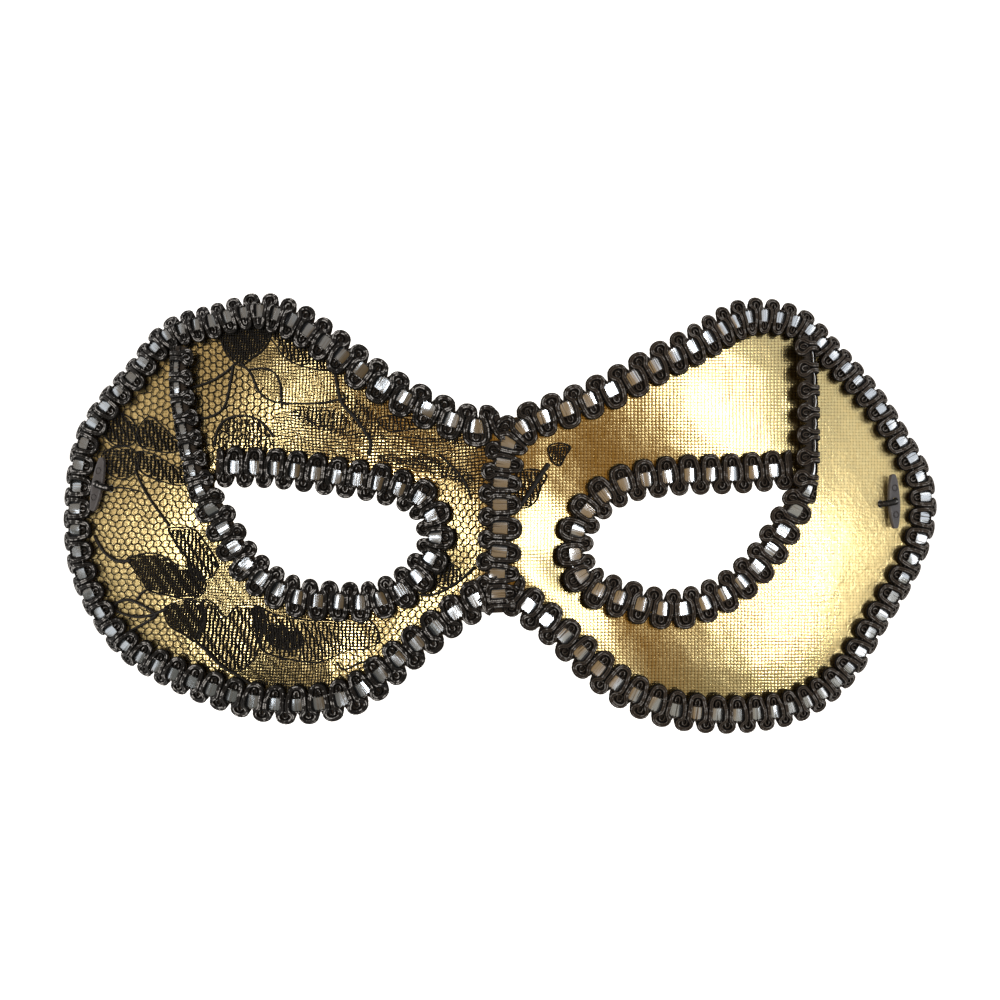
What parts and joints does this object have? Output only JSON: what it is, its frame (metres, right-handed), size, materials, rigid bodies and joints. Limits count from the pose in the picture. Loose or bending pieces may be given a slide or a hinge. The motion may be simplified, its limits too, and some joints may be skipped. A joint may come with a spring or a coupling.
{
  "type": "masquerade eye mask",
  "caption": "Curved masquerade eye mask with almond eye openings, gold metallic cloth partly under black floral lace, looped black and silver braid trim, and a toggled elastic.",
  "frame": {"origin": "on the table under the middle of the mask's outline, with the mask lying face up on its temple rims", "axes": "+X across the face towards the plain gold half, +Y towards the brow, +Z out of the front of the mask"},
  "size_m": [0.176, 0.0885, 0.0404],
  "materials": {
    "shell": "plain moulded off-white plastic, seen only from behind",
    "gold_cloth": "woven gold metallic cloth, satin sheen",
    "lace": "black floral lace on a hexagonal net",
    "braid": "looped black gimp braid over a silver foil strip",
    "foil": "silver foil strip woven through the braid",
    "toggle": "smooth grey moulded toggle",
    "elastic": "round black covered elastic"
  },
  "bodies": {
    "root": {"mask_shell": "shell", "gold_cloth": "gold_cloth", "lace_cloth": "lace", "left_edge_braid": "braid", "right_edge_braid": "braid", "left_eye_braid": "braid", "right_eye_braid": "braid", "left_toggle": "toggle", "right_toggle": "toggle", "left_elastic_loop": "elastic", "right_elastic_loop": "elastic", "elastic_cord": "elastic"}
  },
  "joints": []
}
